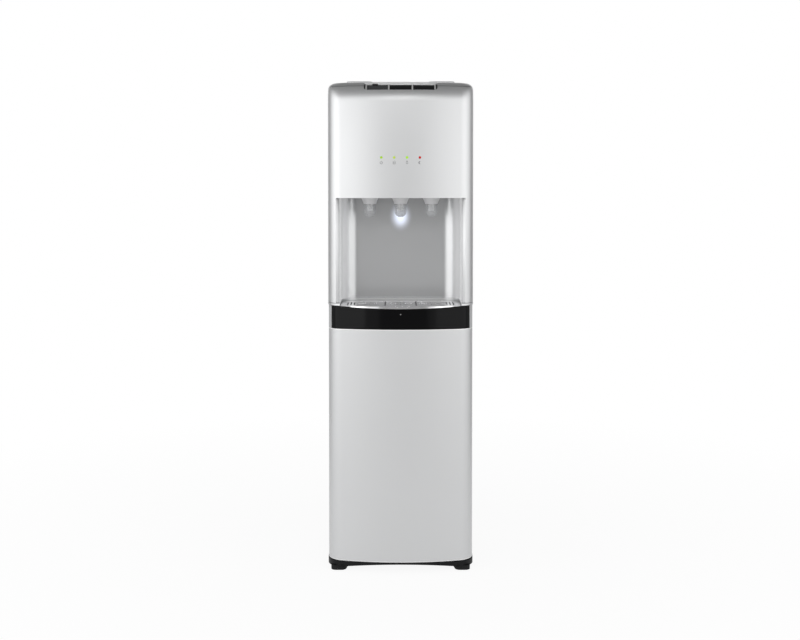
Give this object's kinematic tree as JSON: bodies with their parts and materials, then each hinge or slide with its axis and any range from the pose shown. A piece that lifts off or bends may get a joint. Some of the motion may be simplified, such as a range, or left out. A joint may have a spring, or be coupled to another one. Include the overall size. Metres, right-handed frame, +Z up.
{
  "type": "bottom load water cooler",
  "caption": "Tall silver floor-standing water cooler with a bottle bay behind a convex lower door, a dispensing niche with taps, a slide-out drip tray and rocking push keys on top.",
  "frame": {"origin": "on the floor, under the middle of the machine's bounding box", "axes": "+Z up, +X to the right seen from the front, the door and taps face -Y"},
  "size_m": [0.31, 0.36, 1.05],
  "materials": {
    "silver": "metallic silver lacquer, satin",
    "silver_side": "fine textured powder coat",
    "black_base": "fine spark-eroded texture",
    "gloss_black": "high gloss",
    "key_grey": "satin",
    "divider": "satin silver",
    "liner_white": "fine moulded texture",
    "tap_grey": "satin",
    "tap_clear": "smoke clear, polished",
    "tap_nozzle": "polished",
    "chrome": "bright plated",
    "lamp": "lit lens",
    "night_lens": "frosted lit lens",
    "steel": "zinc plated sheet",
    "tank_steel": "brushed stainless",
    "pin_steel": "turned",
    "black_metal": "black enamel",
    "back_grey": "galvanised and lacquered sheet",
    "copper": "drawn copper",
    "foam": "moulded foam beads",
    "board": "board green",
    "white_plastic": "moulded",
    "silicone": "milky silicone",
    "rubber": "matt",
    "magnet": "moulded ferrite",
    "red_rocker": "gloss",
    "blue_rocker": "gloss",
    "green_rocker": "gloss",
    "marker": "moulded"
  },
  "bodies": {
    "cabinet": {"base_pan": "black_base", "front_feet": "rubber", "rear_feet": "rubber", "hinge_pins": "pin_steel", "door_magnet": "magnet", "bottle_bay": "liner_white", "mid_deck": "steel", "tray_shelf": "silver", "front_fascia": "silver", "top_cover": "silver", "left_side_panel": "silver_side", "right_side_panel": "silver_side", "lower_back_panel": "back_grey", "back_panel": "back_grey", "panel_screws": "pin_steel", "niche_liner": "silver", "niche_ceiling": "silver", "night_light": "night_lens", "tap_cones": "tap_grey", "tap_sleeves": "tap_clear", "tap_nozzles": "tap_nozzle", "tap_valves": "white_plastic", "water_tubes": "silicone", "key_bezel": "gloss_black", "key_dividers": "divider", "key_axle": "pin_steel", "status_lamps": "lamp", "lamp_board": "board", "power_board": "board", "tank_deck": "steel", "cold_tank": "tank_steel", "tank_insulation": "foam", "hot_tank": "tank_steel", "compressor": "black_metal", "pump": "white_plastic", "filter_drier": "copper", "probe_hose": "silicone", "condenser": "black_metal", "condenser_brackets": "black_base", "switch_bodies": "black_base", "cord_gland": "rubber"},
    "bottle_door": {"door_shell": "silver", "door_inner_panel": "liner_white", "catch_strike": "pin_steel"},
    "tray": {"drip_tray": "gloss_black", "tray_front": "gloss_black", "tray_marker": "marker"},
    "grille": {"drip_grille": "chrome"},
    "hot_key": {"hot_key": "key_grey"},
    "room_key": {"room_key": "gloss_black"},
    "cold_key": {"cold_key": "gloss_black"},
    "child_lock": {"child_lock": "black_base"},
    "hot_rod": {"push_rod_hot": "white_plastic"},
    "room_rod": {"push_rod_room": "white_plastic"},
    "cold_rod": {"push_rod_cold": "white_plastic"},
    "probe": {"bottle_probe": "white_plastic"},
    "drain_cap": {"drain_cap": "white_plastic"},
    "heating_rocker": {"rocker_heating": "red_rocker"},
    "cooling_rocker": {"rocker_cooling": "blue_rocker"},
    "light_rocker": {"rocker_light": "green_rocker"}
  },
  "joints": [
    {"name": "door_hinge", "type": "hinge", "parent": "cabinet", "child": "bottle_door", "pos_m": [0.145, -0.115, 0.26], "axis": [0, 0, 1], "range_deg": [0, 95]},
    {"name": "tray_slide", "type": "slide", "parent": "cabinet", "child": "tray", "axis": [0, -1, 0], "range_m": [0, 0.12]},
    {"name": "grille_lift", "type": "slide", "parent": "tray", "child": "grille", "axis": [0, 0, 1], "range_m": [0, 0.04]},
    {"name": "hot_key_rock", "type": "hinge", "parent": "cabinet", "child": "hot_key", "pos_m": [0, -0.118, 1.0265], "axis": [1, 0, 0], "range_deg": [0, 4], "stiffness_Nm_per_rad": 2, "springref_deg": -2.86},
    {"name": "room_key_rock", "type": "hinge", "parent": "cabinet", "child": "room_key", "pos_m": [0, -0.118, 1.0265], "axis": [1, 0, 0], "range_deg": [0, 4], "stiffness_Nm_per_rad": 2, "springref_deg": -2.86},
    {"name": "cold_key_rock", "type": "hinge", "parent": "cabinet", "child": "cold_key", "pos_m": [0, -0.118, 1.0265], "axis": [1, 0, 0], "range_deg": [0, 4], "stiffness_Nm_per_rad": 2, "springref_deg": -2.86},
    {"name": "hot_rod_slide", "type": "slide", "parent": "cabinet", "child": "hot_rod", "axis": [0, 0, -1], "range_m": [0, 0.002]},
    {"name": "room_rod_slide", "type": "slide", "parent": "cabinet", "child": "room_rod", "axis": [0, 0, -1], "range_m": [0, 0.002]},
    {"name": "cold_rod_slide", "type": "slide", "parent": "cabinet", "child": "cold_rod", "axis": [0, 0, -1], "range_m": [0, 0.002]},
    {"name": "child_lock_slide", "type": "slide", "parent": "hot_key", "child": "child_lock", "axis": [0, 1, 0], "range_m": [0, 0.005], "stiffness_N_per_m": 60, "springref_m": -0.005},
    {"name": "probe_lift", "type": "slide", "parent": "cabinet", "child": "probe", "axis": [0, 0, 1], "range_m": [0, 0.03], "deforming": ["probe_hose"]},
    {"name": "drain_cap_unscrew", "type": "slide", "parent": "cabinet", "child": "drain_cap", "axis": [0, 1, 0], "range_m": [0, 0.014]},
    {"name": "heating_rocker_tip", "type": "hinge", "parent": "cabinet", "child": "heating_rocker", "pos_m": [-0.108, 0.1449, 0.93], "axis": [1, 0, 0], "range_deg": [0, 16]},
    {"name": "cooling_rocker_tip", "type": "hinge", "parent": "cabinet", "child": "cooling_rocker", "pos_m": [-0.084, 0.1449, 0.93], "axis": [1, 0, 0], "range_deg": [0, 16]},
    {"name": "light_rocker_tip", "type": "hinge", "parent": "cabinet", "child": "light_rocker", "pos_m": [-0.06, 0.1449, 0.93], "axis": [1, 0, 0], "range_deg": [0, 16]}
  ],
  "couplings": [
    {"joint": "hot_rod_slide", "follows": "hot_key_rock", "m_per_rad": 0.027},
    {"joint": "room_rod_slide", "follows": "room_key_rock", "m_per_rad": 0.027},
    {"joint": "cold_rod_slide", "follows": "cold_key_rock", "m_per_rad": 0.027}
  ]
}
